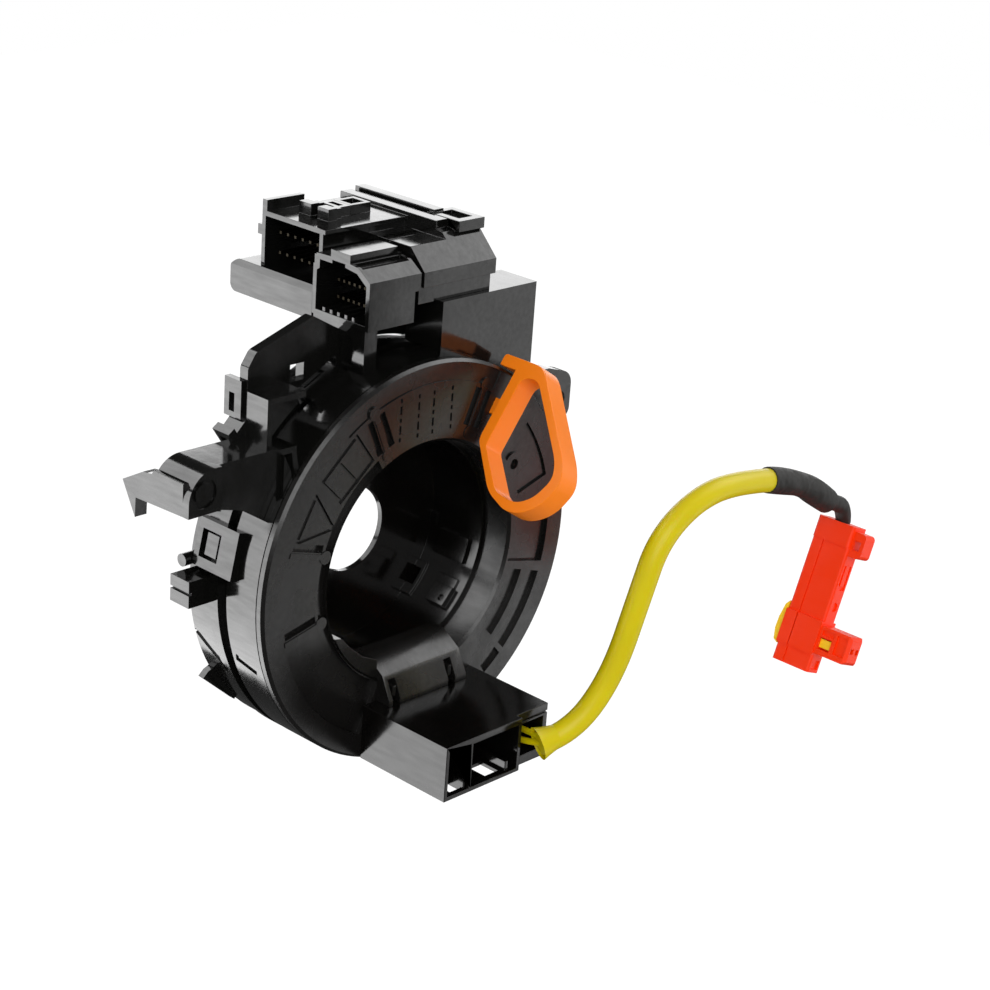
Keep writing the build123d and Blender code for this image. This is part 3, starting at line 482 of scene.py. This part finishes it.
class CLOCK_OT_stage(bpy.types.Operator):
    """White studio with soft panels, and the photograph's camera"""
    bl_idname = "clock_spring.stage"
    bl_label = "Studio and camera"

    def execute(self, context):
        self.camera(context)
        self.world(context)
        self.floor()
        for panel in STUDIO_PANELS:
            self.panel(context, *panel)
        context.scene.view_settings.view_transform = "Standard"
        return {"FINISHED"}

    def camera(self, context):
        data = bpy.data.cameras.new("photo_camera")
        data.sensor_width = CAMERA_SENSOR
        data.lens = CAMERA_LENS
        data.clip_start = CAMERA_NEAR
        data.clip_end = CAMERA_FAR
        camera = bpy.data.objects.new("photo_camera", data)
        context.scene.collection.objects.link(camera)
        az, el, roll = (radians(v) for v in (CAMERA_AZIMUTH, CAMERA_ELEVATION, CAMERA_ROLL))
        forward = Vector((-sin(az) * cos(el), cos(az) * cos(el), -sin(el)))
        right = Vector((cos(az), sin(az), 0))
        down = -right.cross(forward)
        turned_right = cos(roll) * right + sin(roll) * down
        turned_down = -sin(roll) * right + cos(roll) * down
        turn = Matrix((turned_right, -turned_down, -forward)).transposed()
        camera.matrix_world = Matrix.Translation(CAMERA_PLACE) @ turn.to_4x4()
        context.scene.camera = camera

    # White behind the object for the camera, soft light from all round on matt colours, and dark
    # grey in reflections, so that the softboxes stand out in the glossy plastic
    def world(self, context):
        world = bpy.data.worlds.new("white_studio")
        world.use_nodes = True
        tree = world.node_tree
        tree.nodes.clear()
        path = add(tree, "ShaderNodeLightPath")
        white, dark = linear(STUDIO_WHITE), linear(WORLD_IN_REFLECTIONS)
        fill = add(tree, "ShaderNodeBackground", {"Color": white, "Strength": WORLD_FILL})
        reflected = add(tree, "ShaderNodeBackground", {"Color": dark, "Strength": 1.0})
        backdrop = add(tree, "ShaderNodeBackground", {"Color": white, "Strength": 1.0})
        around = add(tree, "ShaderNodeMixShader", links={
            0: path.outputs["Is Glossy Ray"], 1: fill.outputs[0], 2: reflected.outputs[0]})
        both = add(tree, "ShaderNodeMixShader", links={
            0: path.outputs["Is Camera Ray"], 1: around.outputs[0], 2: backdrop.outputs[0]})
        add(tree, "ShaderNodeOutputWorld", links={"Surface": both.outputs[0]})
        context.scene.world = world

    # Matt white floor well below the held part: mostly glow for the camera, so that it stays white,
    # and dark grey in reflections
    def floor(self):
        deselect()
        lowest = CAD_BOX[0][2] - sizes().floor_drop
        bpy.ops.mesh.primitive_plane_add(size=FLOOR_SIZE, location=(0, 0, lowest))
        floor = bpy.context.object
        floor.name = "studio_floor"
        material, tree = new_material("matt_white_floor")
        path = add(tree, "ShaderNodeLightPath")
        paint = add(tree, "ShaderNodeBsdfDiffuse", {"Color": linear(FLOOR_PAINT), "Roughness": 1.0})
        glow = add(tree, "ShaderNodeEmission", {"Color": linear(STUDIO_WHITE), "Strength": FLOOR_GLOW})
        reflected = add(tree, "ShaderNodeEmission",
                        {"Color": linear(FLOOR_IN_REFLECTIONS), "Strength": 1.0})
        share = add(tree, "ShaderNodeMath", {1: FLOOR_GLOW_SHARE}, {0: path.outputs["Is Camera Ray"]},
                    operation="MULTIPLY")
        matt = add(tree, "ShaderNodeMixShader", links={
            0: path.outputs["Is Glossy Ray"], 1: paint.outputs[0], 2: reflected.outputs[0]})
        both = add(tree, "ShaderNodeMixShader", links={
            0: share.outputs[0], 1: matt.outputs[0], 2: glow.outputs[0]})
        add(tree, "ShaderNodeOutputMaterial", links={"Surface": both.outputs[0]})
        set_material(floor, material)

    def panel(self, context, name, direction, distance, size, radiance, on_matt):
        light = bpy.data.lights.new(name, "AREA")
        light.shape = "RECTANGLE"
        light.size, light.size_y = size
        light.energy = radiance * size[0] * size[1] * WATTS_PER_RADIANCE
        lamp = bpy.data.objects.new(name, light)
        context.scene.collection.objects.link(lamp)
        toward = Vector(direction).normalized()
        lamp.location = toward * distance
        lamp.rotation_euler = (-toward).to_track_quat("-Z", "Y").to_euler()
        lamp.visible_camera = False
        lamp.visible_diffuse = on_matt


class CLOCK_OT_mouldings(bpy.types.Operator):
    """Finishes on every CAD node, and rounded edges on the mouldings"""
    bl_idname = "clock_spring.mouldings"
    bl_label = "Mouldings and contacts"

    def execute(self, context):
        for name, finish in NODE_FINISH.items():
            set_material(rounded_copy(name) if name in ROUNDED else NODES[name], made(finish))
        set_material(NODES["flat_cable"], film_plastic("polyester_film_natural", colours().cable_natural))
        for end in ("front", "rear"):
            set_material(NODES["slide_sheet_" + end],
                         film_plastic("ptfe_film_white_" + end, colours().slide_white))
        return {"FINISHED"}


class CLOCK_OT_lock(bpy.types.Operator):
    """Orange lock loop with its smooth outline, window and peg"""
    bl_idname = "clock_spring.lock"
    bl_label = "Lock loop"

    def execute(self, context):
        curve = bpy.data.curves.new("lock_outline", "CURVE")
        curve.dimensions = "2D"
        curve.fill_mode = "BOTH"
        curve.extrude = LOCK_DEPTH / 2 * MM
        for outline in (LOCK_OUTSIDE, LOCK_WINDOW):
            self.loop(curve, outline)
        drawing = bpy.data.objects.new("lock_outline", curve)
        mesh = bpy.data.meshes.new_from_object(drawing)
        bpy.data.objects.remove(drawing)
        radial = Vector((cos(LOCK_ANGLE), 0, sin(LOCK_ANGLE)))
        forward = Vector((0, -1, 0))
        turn = Matrix((radial, forward, radial.cross(forward))).transposed().to_4x4()
        into_place = Matrix.Translation(place(0, 0, 0)) @ turn
        mesh.transform(into_place)
        piece = bpy.data.objects.new("lock_loop", mesh)
        context.scene.collection.objects.link(piece)
        peg = self.peg(into_place)
        activate(piece)
        peg.select_set(True)
        bpy.ops.object.join()
        soften(piece, sizes().lock_round)
        set_material(piece, made(lock_plastic))
        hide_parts("lock_tab")
        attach(piece, "lock")
        return {"FINISHED"}

    # A closed line along the outline with its corners drawn round
    def loop(self, curve, outline):
        points = []
        for before, corner, after in zip(outline[-1:] + outline[:-1], outline, outline[1:] + outline[:1]):
            spot, rounding = Vector(corner[:2]), corner[2]
            start = spot + rounding * (Vector(before[:2]) - spot).normalized()
            end = spot + rounding * (Vector(after[:2]) - spot).normalized()
            steps = round(LOCK_STEPS_PER_MM * rounding)
            if steps:
                shares = [i / steps for i in range(steps + 1)]
                points += [start.lerp(spot, share).lerp(spot.lerp(end, share), share) for share in shares]
            else:
                points.append(spot)
        spline = curve.splines.new("POLY")
        spline.points.add(len(points) - 1)
        for point, spot in zip(spline.points, points):
            point.co = (spot.x * MM, spot.y * MM, 0, 1)
        spline.use_cyclic_u = True

    def peg(self, into_place):
        deselect()
        bpy.ops.mesh.primitive_cube_add(size=2)
        peg = bpy.context.object
        centre = Matrix.Translation(Vector(LOCK_PEG_CENTRE) * MM)
        peg.data.transform(into_place @ centre @ Matrix.Diagonal((*(v * MM for v in LOCK_PEG_HALF_SIZE), 1)))
        return peg


class CLOCK_OT_cable(bpy.types.Operator):
    """Yellow sleeve, its taped end and the lead into the airbag plug"""
    bl_idname = "clock_spring.cable"
    bl_label = "Airbag cable"

    def execute(self, context):
        sleeve = smooth_line("yellow_sleeve", SLEEVE_ROUTE, sizes().sleeve_diameter)
        mouth = smooth_line("sleeve_mouth", MOUTH_ROUTE, sizes().sleeve_diameter, MOUTH_SWELL, caps=False)
        tape = smooth_line("taped_end", TAPE_ROUTE, sizes().tape_diameter, TAPE_SWELL)
        lead = smooth_line("taped_lead", LEAD_ROUTE, sizes().lead_diameter, LEAD_SWELL)
        for piece, part, look in ((sleeve, "cable_sleeve", sleeve_plastic), (mouth, None, sleeve_plastic),
                                  (tape, "cable_tape", tape_cloth), (lead, "cable_lead", tape_cloth)):
            set_material(piece, made(look))
            if part:
                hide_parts(part)
            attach(piece, "rotor")
        line_length(SLEEVE_ROUTE)
        return {"FINISHED"}


class CLOCK_PT_panel(bpy.types.Panel):
    """Lists the clock spring's pieces, sizes and colours"""
    bl_idname = "CLOCK_PT_panel"
    bl_label = "Clock spring"
    bl_space_type = "VIEW_3D"
    bl_region_type = "UI"
    bl_category = "Clock spring"

    def draw(self, context):
        for step in STEPS:
            self.layout.operator(step.bl_idname)
        for group in (sizes(), colours()):
            for field in group.__annotations__:
                self.layout.prop(group, field)


STEPS = (CLOCK_OT_stage, CLOCK_OT_mouldings, CLOCK_OT_lock, CLOCK_OT_cable)
CLASSES = (ClockSpringSizes, ClockSpringColours, *STEPS, CLOCK_PT_panel)


def register():
    for kind in CLASSES:
        bpy.utils.register_class(kind)
    bpy.types.Scene.clock_spring_sizes = bpy.props.PointerProperty(type=ClockSpringSizes)
    bpy.types.Scene.clock_spring_colours = bpy.props.PointerProperty(type=ClockSpringColours)


def unregister():
    del bpy.types.Scene.clock_spring_sizes
    del bpy.types.Scene.clock_spring_colours
    for kind in reversed(CLASSES):
        bpy.utils.unregister_class(kind)


def main():
    register()
    for step in STEPS:
        group, name = step.bl_idname.split(".")
        getattr(getattr(bpy.ops, group), name)()


if __name__ == "__main__":
    main()
